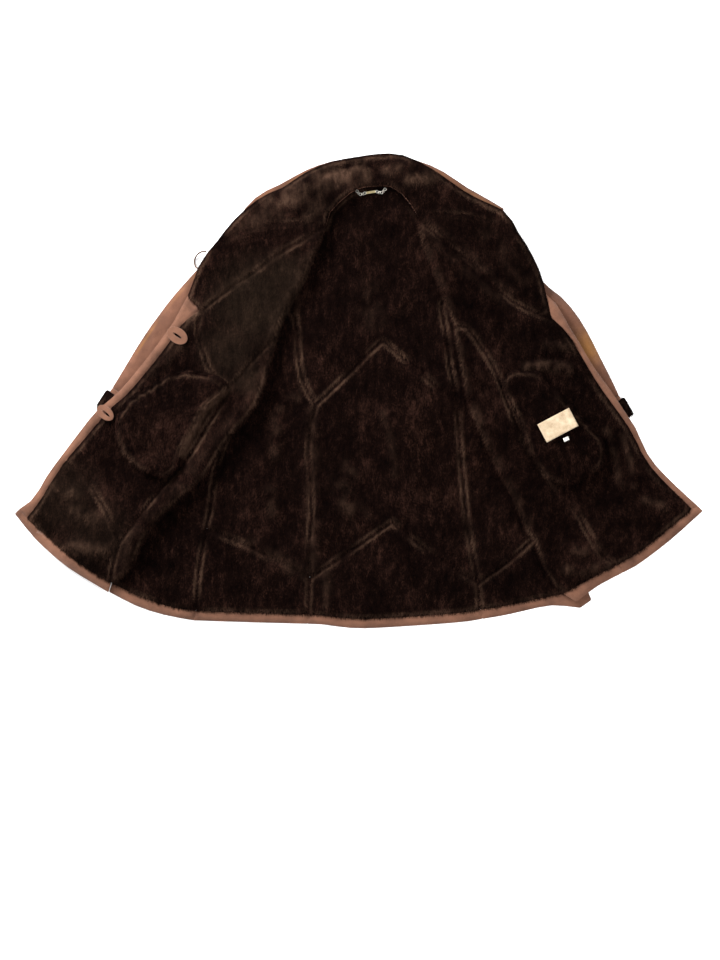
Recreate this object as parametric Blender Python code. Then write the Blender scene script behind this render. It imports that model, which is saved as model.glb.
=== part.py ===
"""A shearling coat laid open on its back, wool side up, both fronts turned out over the sleeves.

Metres, +Z up. X runs across the coat and Y from the hem towards the collar. The origin is at the
bottom centre of the whole coat. The skins lie in layers: the back on the surface, the sleeves
beside it, the turned pleats on the back, and the fronts, lapels and collar on top of them all.
Every seam is one table of places, shared by the two pieces that are sewn along it.
"""
import math

import bmesh
import bpy
import numpy as np
from mathutils import Vector
from mathutils.geometry import delaunay_2d_cdt

SKIN = 0.009            # a shearling wall, suede and wool together
BAND = 0.006            # folded suede binding along the edges
SLEEVE = 0.0135         # a sleeve pressed flat, two walls on each other
UNDER_COLLAR = 0.0085
GAP = 0.0003            # between pieces at a seam
REST_GAP = 0.0018       # between a small piece and the uneven wool it lies on
SEAM_STEP = 0.030       # places along a seam are about this far apart
FIELD_STEP = 0.038      # and so are the places inside a panel

FOLD_LIFT = 2 * SKIN + 2 * GAP      # the fronts lie on the back and on the turned pleat
FOLD_REACH = 0.075                  # the pleat holds a front up for this far
FOLD_FALL = 0.100                   # and it comes down over this distance
HEM_Y = -0.42                       # the left fold runs out into the hem here,
FOOT_REACH = 0.020                  # and its pleat thins to nothing over this distance
FOOT_FALL = 0.090
FOOT_SINK = 0.46
SLEEVE_LIFT = SLEEVE + 0.0012
SLEEVE_REACH = 0.030
SLEEVE_FALL = 0.095
COLLAR_LIFT = UNDER_COLLAR + 0.0010
COLLAR_FROM = 0.33                  # the collar lies beyond this Y
BUTTON_R = 0.012
BUTTON_H = 0.004
BUTTON_REACH = 0.050                # a front is raised this far round a button beneath it
BUTTON_FALL = 0.050

# Each seam runs through these places, smoothed: (x, y).
SEAMS = {
    "neck": [(-0.068, 0.341), (-0.060, 0.370), (-0.031, 0.399), (-0.004, 0.419), (0.029, 0.424),
             (0.065, 0.424), (0.085, 0.413), (0.104, 0.392), (0.119, 0.368), (0.123, 0.361)],
    "shoulder_left": [(-0.068, 0.341), (-0.170, 0.318)],
    "shoulder_right": [(0.123, 0.361), (0.228, 0.325)],
    "armhole_left": [(-0.170, 0.318), (-0.158, 0.250), (-0.165, 0.200)],
    "armhole_right": [(0.228, 0.325), (0.212, 0.260), (0.215, 0.215)],
    "armhole_left_low": [(-0.165, 0.200), (-0.180, 0.145), (-0.205, 0.100)],
    "armhole_right_low": [(0.215, 0.215), (0.230, 0.150), (0.255, 0.105)],
    "princess_left_high": [(-0.165, 0.200), (-0.130, 0.150), (-0.124, 0.075), (-0.113, 0.020),
                           (-0.088, -0.026)],
    "princess_right_high": [(0.215, 0.215), (0.173, 0.190), (0.181, 0.122), (0.189, 0.055),
                            (0.203, -0.007), (0.205, -0.026)],
    "chevron_left": [(-0.088, -0.026), (0.050, 0.107)],
    "chevron_right": [(0.050, 0.107), (0.205, -0.026)],
    "princess_left": [(-0.088, -0.026), (-0.098, -0.061), (-0.103, -0.125), (-0.098, -0.191),
                      (-0.098, -0.260), (-0.103, -0.326), (-0.101, -0.384)],
    "princess_right": [(0.205, -0.026), (0.208, -0.079), (0.212, -0.148), (0.221, -0.237),
                       (0.230, -0.304), (0.243, -0.371), (0.247, -0.394)],
    "low_chevron_left": [(-0.101, -0.384), (-0.021, -0.331), (0.069, -0.268)],
    "low_chevron_right": [(0.069, -0.268), (0.158, -0.340), (0.247, -0.394)],
    "princess_left_foot": [(-0.101, -0.384), (-0.105, -0.460)],
    "princess_right_foot": [(0.247, -0.394), (0.251, -0.450)],
    "zigzag_left": [(-0.101, -0.384), (-0.246, -0.310), (-0.314, -0.282)],
    "zigzag_right": [(0.247, -0.394), (0.333, -0.331), (0.400, -0.262)],
    "side_left": [(-0.205, 0.100), (-0.252, -0.030), (-0.293, -0.154), (-0.304, -0.225),
                  (-0.314, -0.282)],
    "side_left_foot": [(-0.314, -0.282), (-0.329, -0.360), (-0.337, -0.453)],
    "side_right": [(0.255, 0.105), (0.290, -0.030), (0.345, -0.160), (0.400, -0.262)],
    "side_right_foot": [(0.400, -0.262), (0.437, -0.340), (0.472, -0.409)],
    "turn_left": [(-0.205, 0.100), (-0.262, -0.010), (-0.330, -0.100), (-0.398, -0.175),
                  (-0.458, -0.250), (-0.497, -0.320), (-0.510, -0.396)],
    "hem_in_a": [(-0.510, -0.396), (-0.450, -0.424), (-0.390, -0.444), (-0.337, -0.453)],
    "hem_in_b": [(-0.337, -0.453), (-0.221, -0.457), (-0.105, -0.460)],
    "hem_in_c": [(-0.105, -0.460), (-0.078, -0.462), (-0.010, -0.469), (0.065, -0.467),
                 (0.207, -0.457), (0.251, -0.450)],
    "hem_in_d": [(0.251, -0.450), (0.303, -0.442), (0.398, -0.422), (0.472, -0.409)],
    "hem_out_a": [(-0.516, -0.414), (-0.457, -0.444), (-0.400, -0.462), (-0.341, -0.473)],
    "hem_out_b": [(-0.341, -0.473), (-0.221, -0.477), (-0.106, -0.480)],
    "hem_out_c": [(-0.106, -0.480), (-0.078, -0.481), (-0.010, -0.489), (0.065, -0.487),
                  (0.207, -0.477), (0.255, -0.470)],
    "hem_out_d": [(0.255, -0.470), (0.303, -0.462), (0.398, -0.442), (0.460, -0.447),
                  (0.481, -0.431)],
    "fold_left_high": [(-0.068, 0.341), (-0.086, 0.293), (-0.115, 0.217), (-0.149, 0.165),
                       (-0.167, 0.113)],
    "fold_left_low": [(-0.167, 0.113), (-0.182, 0.065), (-0.196, 0.007), (-0.219, -0.040),
                      (-0.267, -0.096), (-0.314, -0.169), (-0.380, -0.231), (-0.438, -0.297),
                      (-0.463, -0.353), (-0.503, -0.393)],
    "fold_right_high": [(0.123, 0.361), (0.127, 0.318), (0.135, 0.289), (0.150, 0.260),
                        (0.176, 0.190), (0.196, 0.138)],
    "fold_right_low": [(0.196, 0.138), (0.203, 0.090), (0.212, 0.042), (0.221, -0.003),
                       (0.239, -0.061), (0.261, -0.106), (0.292, -0.170), (0.315, -0.214),
                       (0.342, -0.278), (0.362, -0.309), (0.390, -0.380), (0.420, -0.416)],
    "roll_left": [(-0.068, 0.341), (-0.134, 0.301), (-0.171, 0.279), (-0.211, 0.250),
                  (-0.285, 0.198), (-0.326, 0.167)],
    "roll_right": [(0.123, 0.361), (0.150, 0.335), (0.183, 0.306), (0.216, 0.280),
                   (0.251, 0.254), (0.313, 0.190), (0.396, 0.150)],
    "gorge_left": [(-0.068, 0.341), (-0.130, 0.348), (-0.210, 0.338), (-0.291, 0.309)],
    "gorge_right": [(0.123, 0.361), (0.190, 0.366), (0.262, 0.352), (0.329, 0.325)],
    "chest_left": [(-0.326, 0.167), (-0.333, 0.125), (-0.323, 0.096), (-0.304, 0.045),
                   (-0.262, 0.012)],
    "front_armhole_left": [(-0.167, 0.113), (-0.210, 0.075), (-0.262, 0.012)],
    "front_princess_left": [(-0.262, 0.012), (-0.305, -0.060), (-0.350, -0.135), (-0.389, -0.179),
                            (-0.420, -0.216), (-0.447, -0.251), (-0.471, -0.282),
                            (-0.492, -0.312)],
    "front_princess_left_foot": [(-0.492, -0.312), (-0.504, -0.350), (-0.511, -0.395)],
    "front_diagonal_left": [(-0.492, -0.312), (-0.509, -0.268), (-0.523, -0.237),
                            (-0.547, -0.200), (-0.571, -0.168), (-0.604, -0.142)],
    "front_armhole_right": [(0.196, 0.138), (0.222, 0.134), (0.257, 0.086), (0.288, 0.032),
                            (0.318, -0.050), (0.362, -0.130), (0.409, -0.195), (0.448, -0.245),
                            (0.498, -0.331), (0.533, -0.357)],
    "collar_left": [(-0.291, 0.309), (-0.277, 0.328), (-0.254, 0.355), (-0.229, 0.378),
                    (-0.196, 0.403), (-0.153, 0.421), (-0.111, 0.450), (-0.057, 0.473),
                    (0.003, 0.484)],
    "collar_right": [(0.003, 0.484), (0.050, 0.490), (0.094, 0.486), (0.141, 0.463),
                     (0.170, 0.444), (0.218, 0.411), (0.255, 0.392), (0.303, 0.368),
                     (0.329, 0.325)],
    "lapel_edge_left": [(-0.291, 0.309), (-0.324, 0.268), (-0.336, 0.236), (-0.352, 0.196)],
    "lapel_band_left": [(-0.352, 0.196), (-0.326, 0.167)],
    "lapel_edge_right": [(0.329, 0.325), (0.350, 0.293), (0.374, 0.243), (0.385, 0.200)],
    "lapel_band_right": [(0.385, 0.200), (0.396, 0.150)],
    "band_in_left_high": [(-0.326, 0.167), (-0.362, 0.140), (-0.384, 0.108), (-0.420, 0.060),
                          (-0.474, -0.004), (-0.504, -0.030), (-0.531, -0.058),
                          (-0.566, -0.098), (-0.604, -0.142)],
    "band_in_left_low": [(-0.604, -0.142), (-0.630, -0.180), (-0.660, -0.229), (-0.686, -0.262)],
    "band_out_left": [(-0.352, 0.196), (-0.366, 0.171), (-0.380, 0.144), (-0.399, 0.117),
                      (-0.434, 0.070), (-0.486, 0.007), (-0.515, -0.020), (-0.544, -0.044),
                      (-0.581, -0.089), (-0.612, -0.130), (-0.643, -0.172), (-0.672, -0.220),
                      (-0.703, -0.244)],
    "corner_left": [(-0.703, -0.244), (-0.686, -0.262)],
    "hem_front_in_left": [(-0.686, -0.262), (-0.648, -0.294), (-0.588, -0.345), (-0.511, -0.395)],
    "hem_front_out_left": [(-0.711, -0.253), (-0.666, -0.307), (-0.600, -0.363),
                           (-0.517, -0.414)],
    "band_in_right_high": [(0.396, 0.150), (0.430, 0.117), (0.460, 0.066), (0.490, 0.016),
                           (0.520, -0.026), (0.543, -0.056), (0.566, -0.090), (0.583, -0.125),
                           (0.606, -0.160), (0.645, -0.201), (0.688, -0.243)],
    "band_out_right": [(0.385, 0.200), (0.409, 0.176), (0.429, 0.139), (0.454, 0.099),
                       (0.485, 0.047), (0.520, -0.001), (0.549, -0.044), (0.575, -0.082),
                       (0.591, -0.119), (0.614, -0.153), (0.655, -0.195), (0.701, -0.237)],
    "corner_right": [(0.701, -0.237), (0.688, -0.243)],
    "hem_front_in_right": [(0.688, -0.243), (0.633, -0.289), (0.573, -0.335), (0.533, -0.357)],
    "hem_side_in_right": [(0.533, -0.357), (0.488, -0.379), (0.420, -0.416)],
    "hem_front_out_right": [(0.711, -0.247), (0.644, -0.307), (0.578, -0.357), (0.545, -0.374)],
    "hem_side_out_right": [(0.545, -0.374), (0.493, -0.400), (0.448, -0.433)],
    "under_collar_left": [(-0.250, 0.352), (-0.233, 0.380), (-0.203, 0.408), (-0.158, 0.430),
                          (-0.111, 0.456), (-0.057, 0.475), (0.003, 0.482)],
    "under_collar_right": [(0.003, 0.482), (0.050, 0.488), (0.094, 0.484), (0.146, 0.468),
                           (0.178, 0.452), (0.224, 0.421), (0.262, 0.400), (0.300, 0.377)],
    "sleeve_out_left": [(-0.182, 0.318), (-0.215, 0.332), (-0.262, 0.316), (-0.296, 0.286),
                        (-0.324, 0.262), (-0.343, 0.241), (-0.380, 0.200), (-0.407, 0.165),
                        (-0.434, 0.128), (-0.460, 0.088), (-0.482, 0.051), (-0.509, 0.007)],
    "sleeve_in_left": [(-0.396, -0.067), (-0.335, 0.020), (-0.275, 0.100), (-0.215, 0.200),
                       (-0.182, 0.270), (-0.182, 0.318)],
    "sleeve_out_right": [(0.242, 0.322), (0.262, 0.335), (0.310, 0.312), (0.345, 0.270),
                         (0.372, 0.235), (0.400, 0.208), (0.424, 0.190), (0.454, 0.152),
                         (0.475, 0.117), (0.498, 0.071), (0.520, 0.028), (0.537, -0.008)],
    "sleeve_in_right": [(0.418, -0.076), (0.370, 0.020), (0.320, 0.100), (0.270, 0.200),
                        (0.242, 0.280), (0.242, 0.322)],
}
FOLDS = {"left": ("fold_left_high", "fold_left_low"), "right": ("fold_right_high", "fold_right_low")}

# Pieces cut from shearling: the seams round each, anticlockwise or not; a minus sign runs one back.
BACK_PIECES = {
    "back_yoke": ["neck", "shoulder_right", "armhole_right", "princess_right_high",
                  "-chevron_right", "-chevron_left", "-princess_left_high", "-armhole_left",
                  "-shoulder_left"],
    "back_centre": ["chevron_left", "chevron_right", "princess_right", "-low_chevron_right",
                    "-low_chevron_left", "-princess_left"],
    "back_hem_centre": ["low_chevron_left", "low_chevron_right", "princess_right_foot",
                        "-hem_in_c", "-princess_left_foot"],
    "back_side_left": ["armhole_left_low", "side_left", "-zigzag_left", "-princess_left",
                       "-princess_left_high"],
    "back_side_right": ["armhole_right_low", "side_right", "-zigzag_right", "-princess_right",
                        "-princess_right_high"],
    "back_hem_left": ["zigzag_left", "side_left_foot", "hem_in_b", "-princess_left_foot"],
    "back_hem_right": ["zigzag_right", "side_right_foot", "-hem_in_d", "-princess_right_foot"],
    "front_side_left": ["turn_left", "hem_in_a", "-side_left_foot", "-side_left"],
}
FRONT_PIECES = {
    "front_chest_left": ["roll_left", "chest_left", "-front_armhole_left", "-fold_left_high"],
    "front_fold_left": ["front_armhole_left", "front_princess_left", "front_princess_left_foot",
                        "-fold_left_low"],
    "front_main_left": ["chest_left", "front_princess_left", "front_diagonal_left",
                        "-band_in_left_high"],
    "front_corner_left": ["front_diagonal_left", "band_in_left_low", "hem_front_in_left",
                          "-front_princess_left_foot"],
    "front_fold_right": ["front_armhole_right", "hem_side_in_right", "-fold_right_low"],
    "front_main_right": ["roll_right", "band_in_right_high", "hem_front_in_right",
                         "-front_armhole_right", "-fold_right_high"],
    "lapel_left": ["gorge_left", "lapel_edge_left", "lapel_band_left", "-roll_left"],
    "lapel_right": ["gorge_right", "lapel_edge_right", "lapel_band_right", "-roll_right"],
    "collar": ["collar_left", "collar_right", "-gorge_right", "-neck", "gorge_left"],
}
HEM_BANDS = {"a": "front_side_left", "b": "back_left", "c": "back_centre", "d": "back_right"}
FRONT_BANDS = {
    "front_band_left": ["band_out_left", "corner_left", "-band_in_left_low",
                        "-band_in_left_high", "-lapel_band_left"],
    "front_band_right": ["band_out_right", "corner_right", "-band_in_right_high",
                         "-lapel_band_right"],
    "hem_band_front_left": ["corner_left", "hem_front_in_left", "-hem_front_out_left"],
    "hem_band_front_right": ["corner_right", "hem_front_in_right", "-hem_front_out_right"],
    "hem_band_side_right": ["hem_side_in_right", "-hem_side_out_right"],
}
POCKETS = {
    "left": [(-0.395, 0.034), (-0.368, 0.041), (-0.341, 0.041), (-0.302, 0.034),
             (-0.268, 0.010), (-0.314, -0.036), (-0.331, -0.069), (-0.347, -0.096),
             (-0.364, -0.131), (-0.372, -0.162), (-0.393, -0.177), (-0.418, -0.175),
             (-0.451, -0.162), (-0.482, -0.133), (-0.496, -0.106), (-0.503, -0.075),
             (-0.495, -0.048), (-0.471, -0.015), (-0.430, 0.010)],
    "right": [(0.292, 0.026), (0.311, 0.041), (0.340, 0.045), (0.369, 0.041), (0.388, 0.022),
              (0.429, -0.022), (0.473, -0.067), (0.497, -0.092), (0.508, -0.115),
              (0.505, -0.150), (0.485, -0.166), (0.454, -0.185), (0.429, -0.193),
              (0.406, -0.191), (0.383, -0.178), (0.363, -0.152), (0.346, -0.121),
              (0.336, -0.090), (0.324, -0.055), (0.300, -0.010)],
}
PLEAT_BACK = 0.002       # the hidden pleat stays this far inside the fold
PLEAT_LEAST = 0.006      # it is this deep at its ends
PLEAT_MORE = 0.034       # and this much deeper in its middle
PLEAT_TAPER = (0.45, math.pi - 0.35)
CUFF_LONG = 0.040
CUFF_PROUD = 0.008       # the turned-back wool is wider than the sleeve
TAB_LONG = 0.009
SLEEVE_RIM = 0.6         # how much of a pressed sleeve's height is left at its edge
CUFF_RIM = 0.7
POCKET_GAP = 0.0045      # the bags lie a little proud of the folds in the front
POCKET_UNDER = 0.004     # the pocket's lower layer
POCKET_TOP = 0.007       # and its upper one
POCKET_STEP_IN = 0.004
POCKET_FIELD = 0.020     # the bags and the label need closer places than the large panels
LABEL = {"at": (0.407, -0.071), "size": (0.073, 0.042), "turn": math.radians(28)}
TAG = {"at": (0.4245, -0.0995), "size": (0.012, 0.008), "turn": math.radians(24)}
LABEL_THICK = 0.0008
# Buttonholes: centre, patch length and width, slit length and width, direction.
BUTTONHOLES = {
    "buttonhole_upper": {"at": (-0.373, 0.114), "patch": (0.046, 0.032), "slit": (0.021, 0.0045),
                         "turn": math.radians(-34)},
    "buttonhole_lower": {"at": (-0.521, -0.045), "patch": (0.040, 0.026), "slit": (0.024, 0.0045),
                         "turn": math.radians(-41)},
}
PATCH_THICK = 0.002
BUTTONS = {"button_upper": (0.395, 0.105), "button_lower": (0.462, -0.010)}
CHAIN_Z = SKIN + 0.003
CHAIN_LEFT = [(-0.004, 0.414), (0.001, 0.407), (0.008, 0.406), (0.0135, 0.4095)]
CHAIN_RIGHT = [(0.0365, 0.4125), (0.043, 0.409), (0.050, 0.411), (0.055, 0.418)]
BAR = {"at": (0.025, 0.411), "size": (0.020, 0.005), "turn": math.radians(9)}
BAR_THICK = 0.0016
CHAIN_R = 0.0013
LOOP_R = 0.00125
LOOP_ROUTE = [(-0.3150, 0.2880, 0.0170), (-0.3230, 0.2885, 0.0125), (-0.3325, 0.2840, 0.0060),
              (-0.3385, 0.2760, 0.0022), (-0.3400, 0.2690, 0.0018), (-0.3390, 0.2620, 0.0040),
              (-0.3360, 0.2560, 0.0100), (-0.3315, 0.2530, 0.0165)]
LOOP_STEP = 0.0032

COLOURS = {
    "wool": ((0.020, 0.010, 0.006), 0.95, 0.0),
    "suede": ((0.27, 0.12, 0.07), 0.90, 0.0),
    "label": ((0.62, 0.52, 0.38), 0.85, 0.0),
    "tag": ((0.80, 0.77, 0.72), 0.80, 0.0),
    "cord": ((0.10, 0.055, 0.035), 0.80, 0.0),
    "silver": ((0.62, 0.60, 0.56), 0.35, 1.0),
    "brass": ((0.62, 0.48, 0.24), 0.35, 1.0),
    "horn": ((0.07, 0.035, 0.02), 0.40, 0.0),
}


def material(kind):
    """The one material of this kind, made the first time it is asked for."""
    made = bpy.data.materials.get(kind)
    if made:
        return made
    colour, rough, metal = COLOURS[kind]
    made = bpy.data.materials.new(kind)
    made.use_nodes = True
    shader = made.node_tree.nodes["Principled BSDF"]
    shader.inputs["Base Color"].default_value = (*colour, 1.0)
    shader.inputs["Roughness"].default_value = rough
    shader.inputs["Metallic"].default_value = metal
    return made


def smooth_line(places, step):
    """Points about a step apart along a smooth curve through the places, both ends kept."""
    p = np.array(places, float)
    if len(p) == 2:
        parts = max(1, round(float(np.linalg.norm(p[1] - p[0])) / step))
        return [p[0] + (p[1] - p[0]) * k / parts for k in range(parts + 1)]
    p = np.vstack([2 * p[0] - p[1], p, 2 * p[-1] - p[-2]])
    dense = []
    for a, b, c, d in zip(p[:-3], p[1:-2], p[2:-1], p[3:]):
        for t in np.arange(0, 1, 0.1):
            dense.append(0.5 * (2 * b + (c - a) * t + (2 * a - 5 * b + 4 * c - d) * t * t
                                + (3 * b - a - 3 * c + d) * t ** 3))
    dense.append(p[-2])
    dense = np.array(dense)
    along = np.concatenate([[0], np.cumsum(np.linalg.norm(np.diff(dense, axis=0), axis=1))])
    at = np.linspace(0, along[-1], max(2, round(along[-1] / step) + 1))
    return [np.array([np.interp(s, along, dense[:, k]) for k in range(dense.shape[1])]) for s in at]


LINES = {name: smooth_line(places, SEAM_STEP) for name, places in SEAMS.items()}


def chain(names):
    """The closed outline that the named seams make, end to end."""
    runs = []
    for name in names:
        line = LINES[name.lstrip("-")]
        runs.append(line[::-1] if name.startswith("-") else line)
    first, second = runs[0], runs[1]
    if np.linalg.norm(first[0] - second[0]) < 1e-6 or np.linalg.norm(first[0] - second[-1]) < 1e-6:
        runs[0] = first[::-1]
    outline = list(runs[0])
    for run in runs[1:]:
        near_start = np.linalg.norm(run[0] - outline[-1]) <= np.linalg.norm(run[-1] - outline[-1])
        run = run if near_start else run[::-1]
        joined = np.linalg.norm(run[0] - outline[-1]) < 1e-6
        outline.extend(run[1:] if joined else run)
    if np.linalg.norm(outline[0] - outline[-1]) < 1e-6:
        outline.pop()
    return np.array(outline)


def area(outline):
    x, y = outline[:, 0], outline[:, 1]
    return 0.5 * float(np.sum(x * np.roll(y, -1) - np.roll(x, -1) * y))


def inset(outline, by):
    """The outline, anticlockwise, moved in by a small distance."""
    ring = outline if area(outline) > 0 else outline[::-1]
    before, after = ring - np.roll(ring, 1, axis=0), np.roll(ring, -1, axis=0) - ring
    moved = []
    for point, a, b in zip(ring, before, after):
        a, b = a / np.linalg.norm(a), b / np.linalg.norm(b)
        left = np.array([-a[1] - b[1], a[0] + b[0]])
        size = max(float(np.linalg.norm(left)), 0.5)
        moved.append(point + left / size * by * min(2.0, 2.0 / size))
    return np.array(moved)


def distance(points, line):
    """How far each point is from an open polyline."""
    best = np.full(len(points), np.inf)
    for a, b in zip(line[:-1], line[1:]):
        along = b - a
        t = np.clip((points - a) @ along / float(along @ along), 0, 1)
        best = np.minimum(best, np.linalg.norm(points - a - t[:, None] * along, axis=1))
    return best


def inside(points, ring):
    """Which points lie inside a closed outline."""
    x, y = points[:, 0], points[:, 1]
    odd = np.zeros(len(points), bool)
    for (ax, ay), (bx, by) in zip(ring, np.roll(ring, -1, axis=0)):
        crosses = (ay > y) != (by > y)
        rise = by - ay if abs(by - ay) > 1e-12 else 1e-12
        odd ^= crosses & (x < (bx - ax) * (y - ay) / rise + ax)
    return odd


def fall(away, reach, over):
    """1 up to reach, coming down smoothly to 0 at reach + over."""
    t = np.clip((away - reach) / over, 0, 1)
    return 1 - t * t * (3 - 2 * t)


SLEEVE_RINGS = {side: np.array(LINES["sleeve_out_" + side] + LINES["sleeve_in_" + side][:-1])
                for side in FOLDS}


def lift(points):
    """The height of the underside of the fronts, lapels and collar over each place."""
    height = np.zeros(len(points))
    for side, names in FOLDS.items():
        line = LINES[names[0]] + LINES[names[1]][1:]
        fold = FOLD_LIFT * fall(distance(points, line), FOLD_REACH, FOLD_FALL)
        if side == "left":
            fold *= 1 - FOOT_SINK * fall(points[:, 1] - HEM_Y, FOOT_REACH, FOOT_FALL)
        ring = SLEEVE_RINGS[side]
        away = distance(points, np.vstack([ring, ring[:1]]))
        away[inside(points, ring)] = 0
        height = np.maximum(height, fold)
        height = np.maximum(height, SLEEVE_LIFT * fall(away, SLEEVE_REACH, SLEEVE_FALL))
    height = np.maximum(height, COLLAR_LIFT * (points[:, 1] > COLLAR_FROM))
    for at in BUTTONS.values():
        near = np.linalg.norm(points - np.array(at), axis=1)
        height += (BUTTON_H + 3 * GAP) * fall(near, BUTTON_REACH, BUTTON_FALL)
    return height


def flat_on_floor(points):
    return np.zeros(len(points))


def add_object(name, mesh, kind):
    mesh.materials.append(material(kind))
    made = bpy.data.objects.new(name, mesh)
    bpy.context.collection.objects.link(made)
    return made


def panel(name, outline, low, high, kind, step=FIELD_STEP):
    """A closed wall over an outline. low and high give its underside and top at any places."""
    ring = inset(outline, GAP / 2)
    (x0, y0), (x1, y1) = ring.min(axis=0), ring.max(axis=0)
    field = np.array([(x + (0.5 * step if row % 2 else 0), y)
                      for row, y in enumerate(np.arange(y0, y1, step * 0.87))
                      for x in np.arange(x0 - step, x1, step)])
    closed = np.vstack([ring, ring[:1]])
    field = field[inside(field, ring)]
    field = field[distance(field, closed) > 0.45 * step] if len(field) else field
    count = len(ring)
    plan = delaunay_2d_cdt([Vector(p) for p in np.vstack([ring, field])],
                           [(i, (i + 1) % count) for i in range(count)],
                           [list(range(count))], 1, 1e-7)
    places = np.array([tuple(v) for v in plan[0]])
    bottom, top = low(places), high(places)
    mesh = bpy.data.meshes.new(name)
    shape = bmesh.new()
    lower = [shape.verts.new((x, y, z)) for (x, y), z in zip(places, bottom)]
    upper = [shape.verts.new((x, y, z)) for (x, y), z in zip(places, top)]
    for a, b, c in plan[2]:
        shape.faces.new((upper[a], upper[b], upper[c]))
        shape.faces.new((lower[c], lower[b], lower[a]))
    shape.verts.index_update()
    half = len(lower)
    rim = [e for e in shape.edges if e.is_boundary and e.verts[0].index >= half]
    for edge in rim:
        face = edge.link_faces[0]
        a, b = edge.verts
        corners = list(face.verts)
        if corners[(corners.index(a) + 1) % 3] is not b:
            a, b = b, a
        shape.faces.new((b, a, lower[a.index - half], lower[b.index - half]))
    bmesh.ops.triangulate(shape, faces=[f for f in shape.faces if len(f.verts) == 4])
    shape.to_mesh(mesh)
    shape.free()
    return add_object(name, mesh, kind)


def wall(name, outline, base, thick, kind, rim=1.0, step=FIELD_STEP):
    """A panel of even thickness on a base; rim is the share of it that is left at the edge."""
    ring = inset(outline, GAP / 2)
    closed = np.vstack([ring, ring[:1]])

    def top(points):
        at_edge = distance(points, closed) < 1e-5
        return base(points) + thick * np.where(at_edge, rim, 1.0)

    return panel(name, outline, base, top, kind, step)


def turned_box(at, size, turn):
    """The four corners of a rectangle about a place."""
    along = np.array([math.cos(turn), math.sin(turn)])
    across = np.array([-along[1], along[0]])
    return np.array([np.array(at) + along * sx * size[0] / 2 + across * sy * size[1] / 2
                     for sx, sy in ((-1, -1), (1, -1), (1, 1), (-1, 1))])


def highest(outline, surface):
    return float(surface(outline).max())


def buttonhole(name, at, patch, slit, turn, base):
    """A suede patch with a slit through it: an outer ring and an inner one, joined all round."""
    sides = 24
    mesh = bpy.data.meshes.new(name)
    shape = bmesh.new()
    rings = []
    for size, z in ((patch, base), (patch, base + PATCH_THICK),
                    (slit, base + PATCH_THICK), (slit, base)):
        ring = []
        for k in range(sides):
            angle = 2 * math.pi * k / sides
            u, v = math.cos(angle) * size[0] / 2, math.sin(angle) * size[1] / 2
            ring.append(shape.verts.new((at[0] + u * math.cos(turn) - v * math.sin(turn),
                                         at[1] + u * math.sin(turn) + v * math.cos(turn), z)))
        rings.append(ring)
    for one, two in zip(rings, rings[1:] + rings[:1]):
        for k in range(sides):
            n = (k + 1) % sides
            shape.faces.new((one[k], one[n], two[n], two[k]))
    shape.to_mesh(mesh)
    shape.free()
    return add_object(name, mesh, "suede")


def disc(name, at, z, kind):
    mesh = bpy.data.meshes.new(name)
    shape = bmesh.new()
    bmesh.ops.create_cone(shape, cap_ends=True, segments=20, radius1=BUTTON_R, radius2=BUTTON_R,
                          depth=BUTTON_H)
    bmesh.ops.translate(shape, verts=shape.verts, vec=(*at, z))
    shape.to_mesh(mesh)
    shape.free()
    return add_object(name, mesh, kind)


def tube(name, places, radius, step, kind):
    """A round cord along a smooth route, its ends closed."""
    route = smooth_line(places, step)
    curve = bpy.data.curves.new(name, "CURVE")
    curve.dimensions = "3D"
    curve.bevel_depth = radius
    curve.bevel_resolution = 2
    curve.use_fill_caps = True
    run = curve.splines.new("POLY")
    run.points.add(len(route) - 1)
    for point, place in zip(run.points, route):
        point.co = (*place, 1.0)
    curve.materials.append(material(kind))
    made = bpy.data.objects.new(name, curve)
    bpy.context.collection.objects.link(made)
    return made


def build_back():
    for name, seams in BACK_PIECES.items():
        wall(name, chain(seams), flat_on_floor, SKIN, "wool")
    for key, place in HEM_BANDS.items():
        outline = np.vstack([LINES["hem_in_" + key], LINES["hem_out_" + key][::-1]])
        wall("hem_band_" + place, outline, flat_on_floor, BAND, "suede")


def build_pleats():
    """Each front is turned under along its fold, and this hidden layer lies on the back."""
    for side, names in FOLDS.items():
        line = np.array(LINES[names[0]] + LINES[names[1]][1:])[1:-1]
        along = np.gradient(line, axis=0)
        out = np.stack([along[:, 1], -along[:, 0]], axis=1)
        out /= np.linalg.norm(out, axis=1)[:, None]
        out *= -1 if side == "right" else 1
        taper = np.sin(np.linspace(*PLEAT_TAPER, len(line)))[:, None]
        deep = PLEAT_LEAST + PLEAT_MORE * taper
        outline = np.vstack([line + PLEAT_BACK * out, (line + deep * out)[::-1]])
        panel("pleat_" + side, outline, lambda p: np.full(len(p), SKIN + GAP),
              lambda p: lift(p) - 2 * GAP, "wool")


def build_sleeves():
    """Each sleeve lies pressed flat beside the back, with its wool cuff turned back."""
    for side in FOLDS:
        sleeve_out, sleeve_in = LINES["sleeve_out_" + side], LINES["sleeve_in_" + side]
        wall("sleeve_" + side, SLEEVE_RINGS[side], flat_on_floor, SLEEVE, "suede",
             SLEEVE_RIM)
        a, b = sleeve_out[-1], sleeve_in[0]
        across = (b - a) / np.linalg.norm(b - a)
        down = np.array([across[1], -across[0]]) if side == "right" else np.array(
            [-across[1], across[0]])
        down = down if down[1] < 0 else -down
        tab = np.array([a, b, b + down * TAB_LONG, a + down * TAB_LONG])
        wall("cuff_tab_" + side, tab, flat_on_floor, SLEEVE, "suede", CUFF_RIM)
        c, d = a + down * TAB_LONG - across * CUFF_PROUD, b + down * TAB_LONG
        cuff = np.array([c, d, d + down * CUFF_LONG, c + down * CUFF_LONG])
        wall("cuff_" + side, cuff, flat_on_floor, SLEEVE, "wool", CUFF_RIM)


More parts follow.
